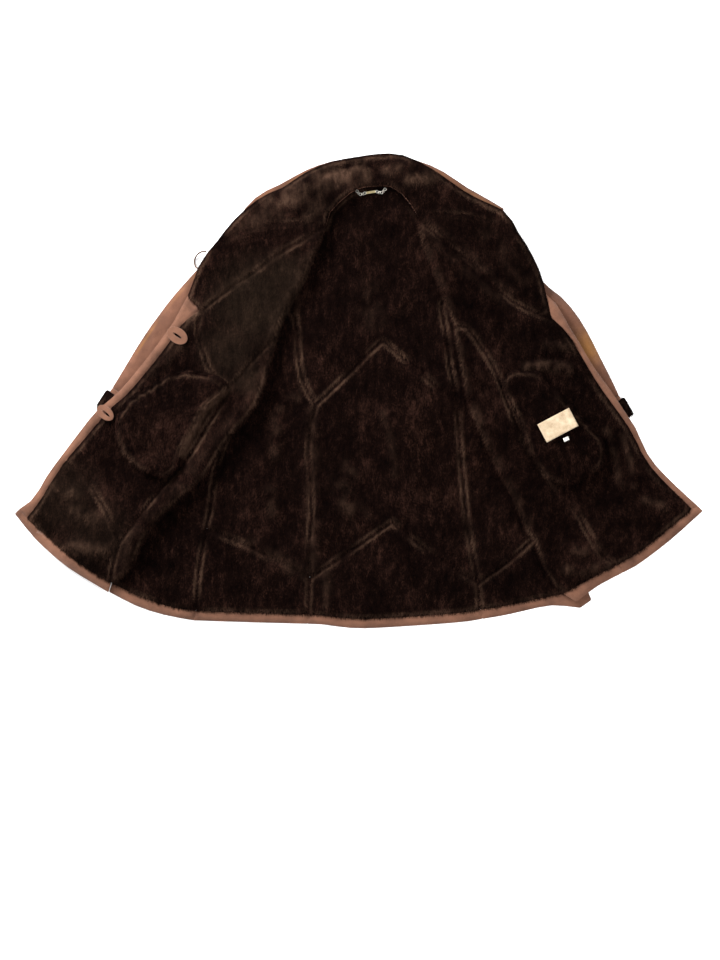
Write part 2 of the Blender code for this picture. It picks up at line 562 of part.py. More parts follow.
def build_fronts():
    for name, seams in FRONT_PIECES.items():
        wall(name, chain(seams), lift, SKIN, "wool")
    for name, seams in FRONT_BANDS.items():
        wall(name, chain(seams), lift, BAND, "suede")
    neck = LINES["neck"]
    under = np.vstack([LINES["under_collar_left"], LINES["under_collar_right"][1:],
                       [(0.262, 0.352)], [(0.190, 0.366)], neck[::-1], [(-0.130, 0.348)]])
    wall("under_collar", under, flat_on_floor, UNDER_COLLAR, "suede")


def pocket_base(points):
    return lift(points) + SKIN + POCKET_GAP


def build_pockets():
    for side, places in POCKETS.items():
        outline = np.array(smooth_line(places + places[:1], 0.018))[:-1]
        wall(f"pocket_{side}_under", outline, pocket_base, POCKET_UNDER, "wool", 0.8, POCKET_FIELD)
        wall(f"pocket_{side}_top", inset(outline, POCKET_STEP_IN),
             lambda p: pocket_base(p) + POCKET_UNDER + REST_GAP, POCKET_TOP, "wool", 0.7,
             POCKET_FIELD)


def build_label():
    def base(points):
        return pocket_base(points) + POCKET_UNDER + POCKET_TOP + 3 * REST_GAP

    for name, card, kind in (("label", LABEL, "label"), ("size_tag", TAG, "tag")):
        corners = turned_box(card["at"], card["size"], card["turn"])
        sides = [smooth_line(pair, POCKET_FIELD)[:-1] for pair in zip(corners, np.roll(corners, -1, 0))]
        wall(name, np.vstack(sides), base, LABEL_THICK, kind, 1.0, POCKET_FIELD)


def build_fastenings():
    for name, hole in BUTTONHOLES.items():
        reach = turned_box(hole["at"], hole["patch"], hole["turn"])
        base = highest(reach, lift) + SKIN + REST_GAP
        buttonhole(name, base=base, **hole)
    for name, at in BUTTONS.items():
        z = float(lift(np.array([at]))[0]) - 2 * GAP - BUTTON_H / 2
        disc(name, at, z, "horn")
    tube("button_loop", LOOP_ROUTE, LOOP_R, LOOP_STEP, "cord")


def build_hanger():
    """A short chain with a bar in its middle, which the coat hangs by, lying on the yoke."""
    for name, places in (("hanger_chain_left", CHAIN_LEFT), ("hanger_chain_right", CHAIN_RIGHT)):
        tube(name, [(x, y, CHAIN_Z) for x, y in places], CHAIN_R, 0.003, "silver")
    wall("hanger_bar", turned_box(BAR["at"], BAR["size"], BAR["turn"]),
         lambda p: np.full(len(p), CHAIN_Z - BAR_THICK / 2), BAR_THICK, "brass")


def main():
    for old in list(bpy.data.objects):
        bpy.data.objects.remove(old)
    build_back()
    build_pleats()
    build_sleeves()
    build_fronts()
    build_pockets()
    build_label()
    build_fastenings()
    build_hanger()


main()
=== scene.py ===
# %% [markdown]
# # A shearling coat, opened out on a table
# The coat lies on its back with the wool up, and both fronts are turned out over the sleeves.
# The solids are loaded first. They fix every place and size, so each step below starts from them.

import bpy
import numpy as np
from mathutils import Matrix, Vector, noise


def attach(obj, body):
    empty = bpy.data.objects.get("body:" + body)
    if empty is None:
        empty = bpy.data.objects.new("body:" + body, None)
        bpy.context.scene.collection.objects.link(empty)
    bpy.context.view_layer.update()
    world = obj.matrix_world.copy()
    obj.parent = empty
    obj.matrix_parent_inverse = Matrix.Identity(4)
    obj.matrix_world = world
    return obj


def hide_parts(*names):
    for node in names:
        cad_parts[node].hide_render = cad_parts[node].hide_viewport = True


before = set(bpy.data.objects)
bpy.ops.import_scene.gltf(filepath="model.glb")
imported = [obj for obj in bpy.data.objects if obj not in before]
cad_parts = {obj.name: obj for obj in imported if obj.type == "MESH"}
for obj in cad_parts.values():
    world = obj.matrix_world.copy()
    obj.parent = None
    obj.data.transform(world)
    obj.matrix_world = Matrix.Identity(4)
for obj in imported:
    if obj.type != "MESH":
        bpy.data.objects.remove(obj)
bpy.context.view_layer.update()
NODES = list(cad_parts)
print("solids:", len(NODES))

# %% [markdown]
# ## Camera
# The coat is seen from straight above. A long lens keeps the layers from leaning outwards, and
# the picture takes in a good deal of bare table below the hem.

# %% Camera
VIEW_TALL = 1.987      # metres of table from the top of the picture to its foot
VIEW_AT = (0.0026, -0.183)
CAMERA_HIGH = 4.2
SENSOR = 36.0

camera_data = bpy.data.cameras.new("camera")
camera_data.sensor_fit = "VERTICAL"
camera_data.sensor_height = SENSOR
camera_data.lens = SENSOR * CAMERA_HIGH / VIEW_TALL
camera = bpy.data.objects.new("camera", camera_data)
camera.location = (*VIEW_AT, CAMERA_HIGH)
bpy.context.collection.objects.link(camera)
bpy.context.scene.camera = camera
print("lens:", round(camera_data.lens, 1))

# %% [markdown]
# ## Writing shaders as sums
# A material is a small tree of nodes. Wrapping a socket in a class with + - * lets the maths be
# written as an expression, and one method makes any other node from its settings and values.

# %% Shader helpers
class Wire:
    """A number on its way through a material."""

    def __init__(self, finish, socket):
        self.finish, self.socket = finish, socket

    def sum(self, operation, first, second):
        node = self.finish.node("ShaderNodeMath", {"operation": operation}, {0: first, 1: second})
        return Wire(self.finish, node.outputs[0])

    def __add__(self, other):
        return self.sum("ADD", self, other)

    def __mul__(self, other):
        return self.sum("MULTIPLY", self, other)

    def __sub__(self, other):
        return self.sum("SUBTRACT", self, other)

    def __rsub__(self, other):
        return self.sum("SUBTRACT", other, self)

    __radd__, __rmul__ = __add__, __mul__


class Finish:
    """A material with one Principled shader."""

    def __init__(self, name, **fixed):
        self.material = bpy.data.materials.new(name)
        self.material.use_nodes = True
        self.tree = self.material.node_tree
        self.shader = self.tree.nodes["Principled BSDF"]
        for key, value in fixed.items():
            self.shader.inputs[key.replace("_", " ")].default_value = value

    def node(self, kind, settings=None, values=None):
        node = self.tree.nodes.new(kind)
        for key, value in (settings or {}).items():
            setattr(node, key, value)
        for key, value in (values or {}).items():
            self.plug(node.inputs[key], value)
        return node

    def plug(self, into, value):
        if isinstance(value, Wire):
            self.tree.links.new(value.socket, into)
        elif isinstance(value, bpy.types.NodeSocket):
            self.tree.links.new(value, into)
        else:
            into.default_value = value

    def place(self, scale=(1, 1, 1), turn=0.0):
        where = self.node("ShaderNodeTexCoord").outputs["Object"]
        return self.node("ShaderNodeMapping", {}, {"Vector": where, "Scale": scale,
                                                   "Rotation": (0, 0, turn)}).outputs[0]

    def noise(self, size, detail=3.0, rough=0.55, stretch=(1, 1, 1), turn=0.0):
        """Cloudy noise whose patches are about size metres across."""
        node = self.node("ShaderNodeTexNoise", {}, {"Vector": self.place(stretch, turn),
                                                    "Scale": 1 / size, "Detail": detail,
                                                    "Roughness": rough})
        return Wire(self, node.outputs["Fac"])

    def attribute(self, name):
        return Wire(self, self.node("ShaderNodeAttribute", {"attribute_name": name}).outputs["Fac"])

    def ramp(self, value, stops):
        node = self.node("ShaderNodeValToRGB", {}, {0: value})
        bar = node.color_ramp.elements
        while len(bar) < len(stops):
            bar.new(0.5)
        for stop, (at, colour) in zip(bar, stops):
            stop.position, stop.color = at, (*colour, 1)
        return node.outputs[0]

    def blend(self, amount, first, second):
        """Between two colours; clamped."""
        node = self.node("ShaderNodeMix", {"data_type": "RGBA"}, {0: amount, 6: first, 7: second})
        return node.outputs[2]

    def bump(self, height, depth, strength=1.0):
        node = self.node("ShaderNodeBump", {}, {"Height": height, "Distance": depth,
                                                "Strength": strength})
        self.plug(self.shader.inputs["Normal"], node.outputs[0])

    def colour(self, value):
        self.plug(self.shader.inputs["Base Color"], value)


# %% [markdown]
# ## Wool
# Clipped wool is nearly black where one looks down into it and red-brown where the tips are rubbed
# or lit. One attribute, set on each panel later, says where the wool is painted pale: partly wear,
# and partly painted highlight on fold crests, beside seams and along edges that catch the light.
# Another says where a lighter olive sheen is painted, where the nap lies another way. Fine stretched
# noise gives the combed lie.

# %% Wool materials
DEEP, WOOL, WARM = (0.0007, 0.0003, 0.0003), (0.0048, 0.0020, 0.0015), (0.066, 0.029, 0.020)
OLIVE_DEEP, OLIVE_WARM = (0.0022, 0.0013, 0.0009), (0.0300, 0.0180, 0.0115)
# The pale colour for worn wool and for the painted highlights.
PALE_WEAR_AND_HIGHLIGHT = (0.105, 0.058, 0.038, 1)


def wool_finish(name, fibre):
    wool = Finish(name, Roughness=0.95, Sheen_Weight=0.0, Specular_IOR_Level=0.015)
    clouds = wool.noise(0.085, 4.0, 0.6)
    locks = wool.noise(0.012, 4.0, 0.65, (1.0, 0.45, 1.0))
    hairs = wool.noise(0.0022, 2.0, 0.7, (1.0, 0.22, 1.0), 0.12)
    tone = clouds * 0.55 + locks * 0.65 + hairs * 0.35 - 0.42
    if fibre:
        tone = tone + wool.attribute("tip") * 0.16 + wool.attribute("fibre") * 0.22 - 0.14
    body = wool.ramp(tone, [(0.10, DEEP), (0.42, WOOL), (0.95, WARM)])
    # The olive colour of the painted sheen.
    olive_sheen_colour = wool.ramp(tone, [(0.10, OLIVE_DEEP), (0.90, OLIVE_WARM)])
    olive = wool.blend(wool.attribute("olive_sheen"), body, olive_sheen_colour)
    broken = wool.ramp(locks * 0.6 + clouds * 0.6, [(0.42, (0, 0, 0)), (0.72, (1, 1, 1))])
    shreds = Wire(wool, wool.node("ShaderNodeRGBToBW", {}, {0: broken}).outputs[0])
    # Paler where the panels say: partly wear, partly painted highlight on fold crests, beside seams
    # and along lit edges.
    worn_and_lit = wool.attribute("wear_and_highlight") * (0.12 + shreds * 0.95)
    wool.colour(wool.blend(worn_and_lit, olive, PALE_WEAR_AND_HIGHLIGHT))
    if not fibre:
        wool.bump(hairs * 0.6 + locks, 0.0016)
    return wool.material


wool_skin = wool_finish("wool_skin", False)
wool_nap = wool_finish("wool_nap", True)
print("wool made")

# %% [markdown]
# ## Suede
# The flesh side of the skin is brushed and mid brown, with darker handled patches. On the left
# sleeve and under collar the edges are painted a paler tan, a painted highlight like the one beside
# the wool's seams, and the right sleeve has a real paler stain; fine noise gives the short nap.

# %% Suede and the small finishes
def suede_finish(name, dark, light, stain_and_highlight=None):
    suede = Finish(name, Roughness=0.92, Sheen_Weight=0.25, Sheen_Roughness=0.5,
                   Specular_IOR_Level=0.2)
    patches = suede.noise(0.045, 5.0, 0.6)
    grain = suede.noise(0.0016, 3.0, 0.7)
    tone = patches * 0.9 + grain * 0.3 - 0.15
    body = suede.ramp(tone, [(0.15, dark), (0.80, light)])
    if stain_and_highlight:
        # Paler where the panel's attribute says: a stain on the right sleeve, and a painted
        # highlight near the edges of the left sleeve and the under collar.
        body = suede.blend(suede.attribute("wear_and_highlight") * (patches + 0.35), body, (*stain_and_highlight, 1))
    suede.colour(body)
    suede.bump(grain + patches * 1.5, 0.0007)
    return suede.material


suede_band = suede_finish("suede_band", (0.050, 0.019, 0.010), (0.215, 0.096, 0.056))
suede_sleeve = suede_finish("suede_sleeve", (0.048, 0.018, 0.009), (0.165, 0.068, 0.038),
                            (0.200, 0.085, 0.018))


def plain_finish(name, colour, rough, metal=0.0, grain=0.0015):
    """A small part's finish, with a fine uneven tone."""
    finish = Finish(name, Roughness=rough, Metallic=metal)
    tone = finish.noise(grain, 3.0, 0.6)
    low = tuple(c * 0.55 for c in colour)
    finish.colour(finish.ramp(tone, [(0.3, low), (0.7, colour)]))
    finish.bump(tone, 0.0002)
    return finish.material


silver = plain_finish("silver", (0.72, 0.69, 0.62), 0.35, 1.0)
brass = plain_finish("brass", (0.80, 0.66, 0.36), 0.32, 1.0)
horn = plain_finish("horn", (0.070, 0.034, 0.018), 0.35, 0.0, 0.006)
cord_brown = plain_finish("cord_brown", (0.085, 0.042, 0.025), 0.85)


def woven_finish(name, colour, line):
    """Satin tape: two fine crossing waves for its threads."""
    cloth = Finish(name, Roughness=0.6, Sheen_Weight=0.3)
    warp = cloth.node("ShaderNodeTexWave", {"bands_direction": "X"},
                      {"Vector": cloth.place((1, 1, 1), 0.49), "Scale": 380.0})
    weft = cloth.node("ShaderNodeTexWave", {"bands_direction": "Y"},
                      {"Vector": cloth.place((1, 1, 1), 0.49), "Scale": 380.0})
    threads = Wire(cloth, warp.outputs["Fac"]) * 0.5 + Wire(cloth, weft.outputs["Fac"]) * 0.5
    soil = cloth.noise(0.014, 4.0, 0.6)
    cloth.colour(cloth.ramp(soil * 0.8 + threads * 0.2, [(0.25, line), (0.70, colour)]))
    cloth.bump(threads, 0.0003)
    return cloth.material


label_satin = woven_finish("label_satin", (0.70, 0.56, 0.38), (0.34, 0.22, 0.12))
tag_tape = woven_finish("tag_tape", (0.86, 0.84, 0.78), (0.60, 0.55, 0.46))
print("suede and trims made")

# %% [markdown]
# ## Folds placed one by one
# Nothing pulls on a coat that lies open, so its folds are where the skins are stiff or have been
# creased by wear. Each row below is one soft ridge, or a trough where the height is below zero: the
# layer it is in, its path, its height, its half width, and how pale its crest is painted, partly
# wear and partly painted highlight where the crest catches the light.

# %% The table of folds
FOLDS = [
    ("back", [(-0.094, -0.040), (-0.098, -0.200), (-0.096, -0.370)], 0.0050, 0.013, 0.16),
    ("back", [(-0.068, -0.370), (-0.064, -0.440)], 0.0050, 0.010, 0.20),
    ("back", [(-0.165, -0.034), (-0.172, -0.125)], 0.0035, 0.012, 0.16),
    ("back", [(-0.182, -0.205), (-0.180, -0.250)], 0.0030, 0.010, 0.20),
    ("back", [(-0.150, -0.020), (-0.150, -0.300)], -0.0020, 0.016, 0.0),
    ("back", [(0.052, -0.045), (0.068, -0.100), (0.075, -0.168)], 0.0030, 0.008, 0.12),
    ("back", [(0.030, -0.060), (0.040, -0.150)], -0.0016, 0.010, 0.0),
    ("back", [(-0.043, -0.190), (-0.020, -0.235), (0.006, -0.258)], 0.0026, 0.014, 0.30),
    ("back", [(-0.030, -0.150), (-0.014, -0.172)], 0.0022, 0.010, 0.30),
    ("back", [(-0.126, 0.190), (-0.125, 0.080), (-0.118, 0.000)], 0.0024, 0.007, 0.10),
    ("back", [(-0.150, -0.020), (-0.128, -0.012)], 0.0026, 0.009, 0.28),
    ("back", [(0.020, 0.200), (0.030, 0.150)], 0.0014, 0.022, 0.12),
    ("back", [(-0.230, -0.310), (-0.180, -0.335), (-0.120, -0.375)], 0.0024, 0.012, 0.22),
    ("back", [(0.215, -0.180), (0.232, -0.320)], 0.0020, 0.010, 0.10),
    ("front", [(-0.074, 0.335), (-0.171, 0.281), (-0.285, 0.202), (-0.330, 0.172)],
     0.0045, 0.009, 0.20),
    ("front", [(-0.198, 0.010), (-0.235, -0.050), (-0.300, -0.118), (-0.357, -0.188),
               (-0.414, -0.243), (-0.462, -0.300)], 0.0085, 0.021, 0.10),
    ("front", [(-0.462, -0.300), (-0.478, -0.345), (-0.484, -0.385)], 0.0085, 0.019, 0.14),
    ("front", [(-0.080, 0.320), (-0.130, 0.225), (-0.178, 0.120), (-0.192, 0.040)],
     0.0030, 0.010, 0.14),
    ("front", [(0.126, 0.340), (0.152, 0.270), (0.190, 0.175), (0.212, 0.080), (0.226, 0.000),
               (0.262, -0.090), (0.320, -0.205), (0.372, -0.320)], 0.0035, 0.009, 0.14),
    ("front", [(0.140, 0.338), (0.222, 0.268), (0.310, 0.186), (0.390, 0.152)],
     -0.0045, 0.008, 0.0),
    ("front", [(0.138, 0.354), (0.222, 0.290), (0.318, 0.204)], 0.0035, 0.008, 0.12),
    ("front", [(0.145, 0.318), (0.210, 0.256), (0.300, 0.180)], 0.0030, 0.008, 0.10),
    ("front", [(0.348, 0.050), (0.385, 0.056), (0.432, 0.047)], 0.0070, 0.009, 0.42),
    ("front", [(0.340, 0.068), (0.420, 0.070)], -0.0040, 0.007, 0.0),
    ("front", [(0.388, 0.096), (0.432, 0.092)], 0.0045, 0.009, 0.30),
    ("front", [(0.362, 0.114), (0.346, 0.085)], -0.0035, 0.005, 0.0),
    ("front", [(0.512, -0.080), (0.528, -0.130), (0.540, -0.190)], 0.0045, 0.008, 0.26),
    ("front", [(0.545, -0.085), (0.562, -0.140), (0.570, -0.190)], 0.0040, 0.007, 0.24),
    ("front", [(0.590, -0.222), (0.640, -0.236)], 0.0040, 0.007, 0.26),
    ("front", [(0.430, -0.365), (0.475, -0.366), (0.522, -0.358)], 0.0050, 0.009, 0.34),
    ("front", [(0.423, -0.318), (0.460, -0.326), (0.496, -0.322)], 0.0042, 0.009, 0.26),
    ("front", [(-0.630, -0.200), (-0.585, -0.208)], 0.0036, 0.012, 0.42),
    ("front", [(-0.584, -0.245), (-0.540, -0.262)], 0.0040, 0.013, 0.40),
    ("front", [(-0.590, -0.318), (-0.525, -0.325)], 0.0040, 0.012, 0.42),
    ("front", [(-0.350, 0.140), (-0.372, 0.088), (-0.420, 0.040)], 0.0024, 0.010, 0.18),
    ("front", [(-0.170, 0.385), (-0.110, 0.418), (-0.055, 0.440), (0.010, 0.452)],
     0.0040, 0.022, 0.60),
    ("front", [(-0.100, 0.365), (-0.080, 0.400)], 0.0020, 0.016, 0.45),
    ("front", [(-0.070, 0.448), (-0.030, 0.462), (0.010, 0.468)], -0.0040, 0.006, 0.0),
    ("front", [(0.040, 0.452), (0.051, 0.478)], -0.0045, 0.008, 0.0),
    ("front", [(0.105, 0.436), (0.148, 0.440)], 0.0030, 0.012, 0.60),
    ("front", [(0.060, 0.455), (0.100, 0.462)], 0.0020, 0.010, 0.40),
    ("front", [(-0.240, 0.330), (-0.180, 0.372), (-0.130, 0.385)], 0.0030, 0.016, 0.24),
    ("front", [(0.260, 0.330), (0.310, 0.270), (0.340, 0.230)], 0.0024, 0.018, 0.10),
]
# Places where a lighter olive sheen is painted on the wool, where the nap lies another way: (x, y),
# how far it reaches, how strong it is.
OLIVE_SHEEN_PATCHES = [((-0.210, 0.185), 0.110, 0.85), ((-0.265, 0.090), 0.070, 0.70),
                 ((-0.150, 0.240), 0.060, 0.80), ((-0.230, 0.030), 0.040, 0.60),
                 ((-0.610, -0.215), 0.090, 0.50), ((-0.540, -0.290), 0.080, 0.45)]
# Seam edges painted pale, a painted highlight where they catch the light, as a row of places.
HIGHLIGHT_EDGES = [[(-0.328, 0.165), (-0.342, 0.160), (-0.352, 0.150)],
              [(-0.268, 0.006), (-0.314, -0.036), (-0.331, -0.069), (-0.347, -0.096),
               (-0.362, -0.128)]]


# Seams buried in the wool, which hardly show: the two where the collar joins the lapels.
QUIET_SEAMS = [[(-0.090, 0.345), (-0.210, 0.338), (-0.291, 0.309)],
               [(0.145, 0.363), (0.262, 0.352), (0.329, 0.325)]]


def far(points, path):
    """How far each place is from a row of places joined up."""
    best = np.full(len(points), np.inf)
    path = np.array(path, float)
    for a, b in zip(path[:-1], path[1:]):
        along = b - a
        t = np.clip((points - a) @ along / max(float(along @ along), 1e-12), 0, 1)
        best = np.minimum(best, np.linalg.norm(points - a - t[:, None] * along, axis=1))
    return best


def folds_at(points, layer):
    """The height that the folds add, and how pale their crests are painted, partly wear and partly
    painted highlight.
    """
    height, pale = np.zeros(len(points)), np.zeros(len(points))
    for where, path, high, half, wear_and_highlight in FOLDS:
        if where != layer:
            continue
        crest = np.exp(-(far(points, path) / half) ** 2)
        height += high * crest
        pale = np.maximum(pale, wear_and_highlight * crest)
    return height, pale


def olive_at(points):
    olive_sheen = np.zeros(len(points))
    for at, reach, strength in OLIVE_SHEEN_PATCHES:
        near = np.linalg.norm(points - np.array(at), axis=1) / reach
        olive_sheen = np.maximum(olive_sheen, strength * np.clip(1.6 - 1.4 * near, 0, 1))
    return olive_sheen


print("folds:", len(FOLDS))

# %% [markdown]
# ## From a plain solid to a soft panel
# Each solid is copied, its loose triangles are merged, and a voxel remesh gives it an even skin
# of small faces. The top is then smoothed in height only, so the outline stays where the seams
# are. It dips at the seams, where the stitches pull the skins together, and takes the folds.

# %% Helpers for panels
def deselect():
    for chosen in list(bpy.context.selected_objects):
        chosen.select_set(False)


def activate(piece):
    deselect()
    piece.select_set(True)
    bpy.context.view_layer.objects.active = piece


def copy_solid(node, name):
    """The solid's mesh in an object of its own, merged."""
    piece = bpy.data.objects.new(name, bpy.data.objects[node].data.copy())
    bpy.context.collection.objects.link(piece)
    piece.data.materials.clear()
    activate(piece)
    bpy.ops.object.mode_set(mode="EDIT")
    bpy.ops.mesh.select_all(action="SELECT")
    bpy.ops.mesh.remove_doubles(threshold=0.00002)
    bpy.ops.object.mode_set(mode="OBJECT")
    return piece


def rim_of(piece):
    """The outline of a panel, as the plan of its upright walls' edges."""
    mesh = piece.data
    pairs = set()
    for face in mesh.polygons:
        if abs(face.normal.z) < 0.3:
            for a, b in face.edge_keys:
                p, q = mesh.vertices[a].co.xy, mesh.vertices[b].co.xy
                if (p - q).length > 1e-5:
                    ends = sorted(((round(p.x, 5), round(p.y, 5)), (round(q.x, 5), round(q.y, 5))))
                    pairs.add(tuple(ends))
    return [np.array(pair) for pair in sorted(pairs)]


def rim_distance(points, rim):
    best = np.full(len(points), np.inf)
    for a, b in rim:
        along = b - a
        t = np.clip((points - a) @ along / float(along @ along), 0, 1)
        best = np.minimum(best, np.linalg.norm(points - a - t[:, None] * along, axis=1))
    return best


def places_of(mesh):
    flat = np.empty(len(mesh.vertices) * 3)
    mesh.vertices.foreach_get("co", flat)
    return flat.reshape(-1, 3)


def normals_of(mesh):
    flat = np.empty(len(mesh.vertices) * 3)
    mesh.vertices.foreach_get("normal", flat)
    return flat.reshape(-1, 3)


def neighbours(mesh):
    flat = np.empty(len(mesh.edges) * 2, dtype=np.int64)
    mesh.edges.foreach_get("vertices", flat)
    return flat.reshape(-1, 2)


def relax(values, edges, rounds, weight, free):
    """Average values with their neighbours', only where free."""
    count = len(values)
    both = np.concatenate([edges, edges[:, ::-1]])
    degree = np.maximum(np.bincount(both[:, 0], minlength=count), 1)
    for _ in range(rounds):
        total = np.bincount(both[:, 0], weights=values[both[:, 1]], minlength=count)
        values = np.where(free, values + weight * (total / degree - values), values)
    return values


def uneven(points, size, seed):
    return np.array([noise.noise(Vector((x / size, y / size, seed))) for x, y in points])


def keep_number(mesh, name, values):
    layer = mesh.attributes.new(name, "FLOAT", "POINT")
    layer.data.foreach_set("value", values.astype(np.float32))


CUT_SHARE = 0.8        # how much of its rectangle a cut piece is taken to fill
LEAST_WIDE = 0.0101    # the least width that is worked out for a sheet; a sheet's width may not be stated below this


def declare_cloth(piece, node):
    """Work out a flat size back from the finished piece, not from a pattern: the area is half of the
    piece's own surface, and the length is measured along the way that the solid runs. The size is
    not kept; the piece is hung under the root and its solid is hidden."""
    area = sum(face.area for face in piece.data.polygons) / 2
    plan = places_of(bpy.data.objects[node].data)[:, :2]
    runs = np.linalg.svd(plan - plan.mean(axis=0), full_matrices=False)[2][0]
    long = float(np.ptp(plan @ runs))
    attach(piece, "root")
    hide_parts(node)
    wide = max(area / (CUT_SHARE * long), LEAST_WIDE)


SMOOTH_ROUNDS, SMOOTH_WEIGHT = 26, 0.6     # how far the solid's flat facets are averaged out
EDGE_EASE = 0.010      # folds and waves fade towards a panel's edge over this distance
WAVE_SIZE, LUMP_SIZE = 0.055, 0.013
QUIET_REACH = 0.012
SEAM_HIGHLIGHT, SEAM_AWAY, SEAM_WIDE = 0.62, 0.0060, 0.0024    # the painted highlight beside a seam, where the wool catches the light
# How pale and how wide the painted highlight along those edges is.
EDGE_HIGHLIGHT, EDGE_WIDE = 0.8, 0.006
FATTEN = 0.30          # share of a voxel that a panel is widened by, to close its seams
LEAST_HIGH = 0.0002    # the lowest that any cloth goes


def soft_panel(node, finish, layer, voxel=0.0036, dip=0.0045, dip_wide=0.0050,
               wave=0.0022, lump=0.0013):
    """A supple panel in the place of a solid. Returns it."""
    piece = copy_solid(node, node + "_cloth")
    rim = rim_of(piece)
    piece.data.remesh_voxel_size = voxel
    piece.data.remesh_voxel_adaptivity = 0
    bpy.ops.object.voxel_remesh()
    mesh = piece.data
    at, normal, edges = places_of(mesh), normals_of(mesh), neighbours(mesh)
    top = normal[:, 2] > 0.35
    low = float(at[:, 2].min())
    plan = at[:, :2].copy()
    away = rim_distance(plan, rim)
    at[:, 2] = relax(at[:, 2], edges, SMOOTH_ROUNDS, SMOOTH_WEIGHT, top & (away > voxel))
    height, pale = folds_at(plan, layer) if layer else (0 * away, 0 * away)
    ease = np.clip(away / EDGE_EASE, 0, 1)
    rise = height * (0.35 + 0.65 * ease)
    rise += wave * uneven(plan, WAVE_SIZE, 1.7) * ease + lump * uneven(plan, LUMP_SIZE, 4.1)
    loud = np.ones(len(at))
    for path in QUIET_SEAMS:
        loud *= 1 - 0.9 * np.exp(-(far(plan, path) / QUIET_REACH) ** 4)
    rise -= dip * loud * np.exp(-(away / dip_wide) ** 2)
    at[:, 2] = np.where(top, at[:, 2] + rise, at[:, 2])
    every = np.ones(len(at), bool)
    for axis in range(3):
        at[:, axis] = relax(at[:, axis], edges, 2, 0.5, every)
    at[:, :2] += normal[:, :2] * voxel * FATTEN
    at[:, 2] = np.maximum(at[:, 2], max(low, LEAST_HIGH))
    mesh.vertices.foreach_set("co", at.ravel())
    mesh.update()
    # A pale line painted a little in from each panel's edge, in broken patches: painted highlight
    # where the wool beside a seam catches the light. On the left sleeve and under collar it shows as
    # a paler tan.
    patchy = np.clip(0.45 + 1.1 * uneven(plan, 0.045, 12.5), 0, 1)
    seam = SEAM_HIGHLIGHT * loud * patchy * np.exp(-((away - SEAM_AWAY) / SEAM_WIDE) ** 2)
    pale = pale * np.clip(0.55 + 1.2 * uneven(plan, 0.020, 21.5), 0, 1)
    # Pale lines along the listed edges: painted highlight.
    for path in HIGHLIGHT_EDGES:
        pale = np.maximum(pale, EDGE_HIGHLIGHT * np.exp(-(far(plan, path) / EDGE_WIDE) ** 2))
    keep_number(mesh, "wear_and_highlight", np.maximum(pale, seam))
    # The upper layer gets the painted olive sheen where its nap lies another way.
    keep_number(mesh, "olive_sheen", olive_at(plan) if layer == "front" else 0 * away)
    mesh.shade_smooth()
    mesh.materials.append(finish)
    declare_cloth(piece, node)
    return piece


# %% [markdown]
# ## The shearling panels
# The back lies in one layer. The fronts, lapels and collar are the layer above, and the two turned
# pleats show their rounded wool edge between them.

# %% Make the shearling panels
BACK = [n for n in NODES if n.startswith("back_")] + ["front_side_left"]
FRONTS = [n for n in NODES if n.startswith(("front_chest", "front_fold", "front_main",
                                            "front_corner", "lapel_"))] + ["collar"]
PLEATS = [n for n in NODES if n.startswith("pleat_")]
CUFFS = ["cuff_left", "cuff_right"]

panels = {}
for node in BACK:
    panels[node] = soft_panel(node, wool_skin, "back")
for node in FRONTS:
    panels[node] = soft_panel(node, wool_skin, "front")
for node in PLEATS:
    panels[node] = soft_panel(node, wool_skin, None, dip=0.002)
for node in CUFFS:
    panels[node] = soft_panel(node, wool_skin, None, dip=0.003)
print("wool panels:", len(panels), "faces:", sum(len(p.data.polygons) for p in panels.values()))

# %% [markdown]
# ## Pocket bags
# Each bag is two layers sewn round the edge. Both are gathered, so the edge swells and pinches in
# turn.

# %% Make the pocket bags
GATHERS = {"left": (19, 0.0042), "right": (15, 0.0030)}   # side: how many, how deep
GATHER_REACH = 0.016   # how far in from the edge they run
GATHER_OUT = 0.0012    # and how far they push the edge out
for side, (count, deep) in GATHERS.items():
    for part in ("under", "top"):
        node = f"pocket_{side}_{part}"
        bag = soft_panel(node, wool_skin, None, voxel=0.0028, dip=0.0030,
                         dip_wide=0.007, wave=0.0016)
        at = places_of(bag.data)
        centre = at[:, :2].mean(axis=0)
        rim = rim_of(bpy.data.objects[node])
        away = rim_distance(at[:, :2], rim)
        angle = np.arctan2(at[:, 1] - centre[1], at[:, 0] - centre[0])
        swell = np.sin(angle * count + 1.3 * np.sin(angle * 3)) * np.exp(-(away / GATHER_REACH) ** 2)
        strong = 0.45 + 0.55 * np.sin(angle * 0.5 + 0.6) ** 2
        at[:, 2] += np.where(normals_of(bag.data)[:, 2] > 0.2, deep * swell * strong, 0)
        outward = (at[:, :2] - centre) / np.linalg.norm(at[:, :2] - centre, axis=1)[:, None]
        at[:, :2] += outward * (GATHER_OUT * swell * strong)[:, None]
        bag.data.vertices.foreach_set("co", at.ravel())
        bag.data.update()
        panels[node] = bag
print("pocket bags made")

# %% [markdown]
# ## Suede pieces
# Bindings, sleeves and the collar's under layer are the same skin with its suede side out. The
# bindings are folded strips, so they are rounded all over and a little puckered by the stitches.

